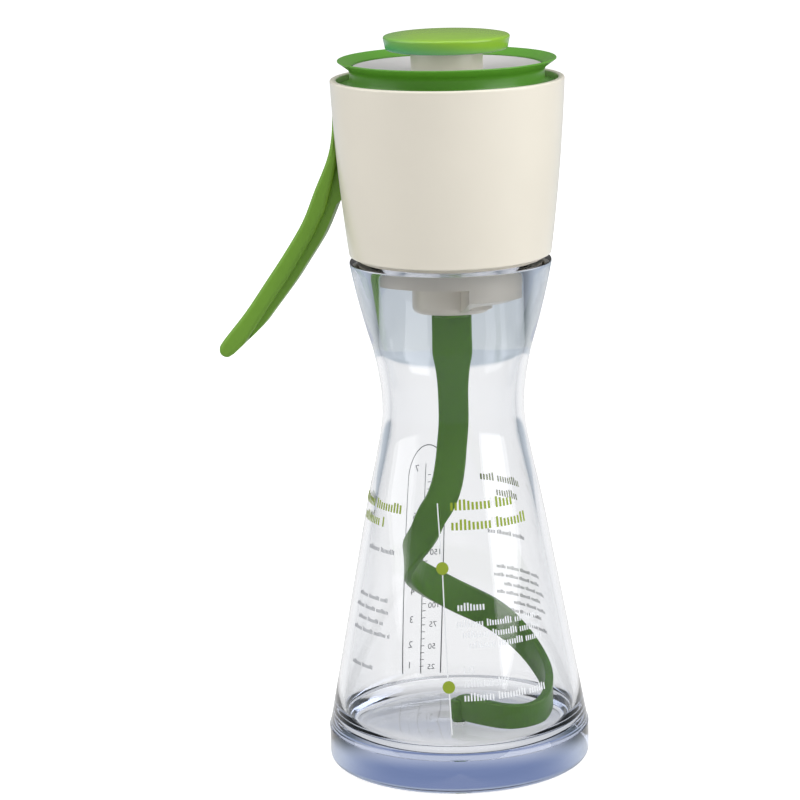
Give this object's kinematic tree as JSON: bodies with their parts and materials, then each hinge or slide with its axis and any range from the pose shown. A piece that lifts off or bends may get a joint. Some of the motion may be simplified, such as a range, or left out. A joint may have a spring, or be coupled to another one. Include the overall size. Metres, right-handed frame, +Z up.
{
  "type": "salad dressing mixer bottle",
  "caption": "Clear waisted bottle with a screw-on pump head: squeezing the side lever spins a spiral paddle inside, and a push-pull stopper opens the pouring dish.",
  "frame": {"origin": "centre of the flat base, on the bottle's axis, at the plane it stands on", "axes": "+Z up along the bottle's axis, the lever on the -X side, +Y across the lever"},
  "size_m": [0.1114, 0.0814, 0.2274],
  "materials": {
    "clear_plastic": "clear, glossy, thick-walled",
    "cream_plastic": "glossy moulded",
    "white_plastic": "glossy moulded",
    "green_plastic": "glossy moulded",
    "lime_plastic": "glossy moulded",
    "dark_green_plastic": "satin moulded",
    "gear_plastic": "matt moulded",
    "seal_rubber": "soft matt",
    "steel": "bright drawn wire and rod"
  },
  "bodies": {
    "bottle": {"bottle": "clear_plastic"},
    "neck_seal": {"neck_gasket": "seal_rubber"},
    "head": {"cover": "cream_plastic", "chassis": "cream_plastic", "pour_duct": "cream_plastic", "deck": "cream_plastic", "housing_screws": "steel", "shaft_seal": "seal_rubber", "shaft_bush": "gear_plastic", "lever_pin": "steel", "gear_post": "steel", "return_spring": "steel", "pour_basin": "white_plastic", "basin_seal": "seal_rubber", "pour_ring": "green_plastic"},
    "lever": {"lever": "green_plastic"},
    "rack": {"rack": "gear_plastic"},
    "step_gear": {"step_gear": "gear_plastic"},
    "agitator": {"drive_shaft": "steel", "drive_pinion": "gear_plastic", "shaft_clip": "steel", "agitator": "dark_green_plastic"},
    "stopper": {"stopper_cap": "lime_plastic", "stopper_stem": "cream_plastic", "stopper_seal": "seal_rubber", "guide_ring": "seal_rubber"}
  },
  "joints": [
    {"name": "head_rise", "type": "slide", "parent": "bottle", "child": "neck_seal", "axis": [0, 0, 1], "range_m": [0, 0.0038]},
    {"name": "head_unscrew", "type": "hinge", "parent": "neck_seal", "child": "head", "pos_m": [0, 0, 0.165], "axis": [0, 0, 1], "range_deg": [0, 170]},
    {"name": "lever_squeeze", "type": "hinge", "parent": "head", "child": "lever", "pos_m": [-0.0275, 0, 0.201], "axis": [0, -1, 0], "range_deg": [0, 10], "stiffness_Nm_per_rad": 1, "springref_deg": -17.19},
    {"name": "rack_travel", "type": "slide", "parent": "head", "child": "rack", "axis": [1, 0, 0], "range_m": [0, 0.00358], "deforming": ["return_spring"]},
    {"name": "step_gear_spin", "type": "hinge", "parent": "head", "child": "step_gear", "pos_m": [-0.01161, 0.0095, 0.18], "axis": [0, 0, 1], "range_deg": [0, 70]},
    {"name": "agitator_spin", "type": "hinge", "parent": "head", "child": "agitator", "pos_m": [0, 0, 0.15], "axis": [0, 0, 1], "range_deg": [-280, 0]},
    {"name": "stopper_push", "type": "slide", "parent": "head", "child": "stopper", "axis": [0, 0, -1], "range_m": [0, 0.0086]}
  ],
  "couplings": [
    {"joint": "head_rise", "follows": "head_unscrew", "m_per_rad": 0.0012732},
    {"joint": "rack_travel", "follows": "lever_squeeze", "m_per_rad": 0.020474},
    {"joint": "step_gear_spin", "follows": "lever_squeeze", "ratio": 6.8247},
    {"joint": "agitator_spin", "follows": "lever_squeeze", "ratio": -27.299}
  ]
}
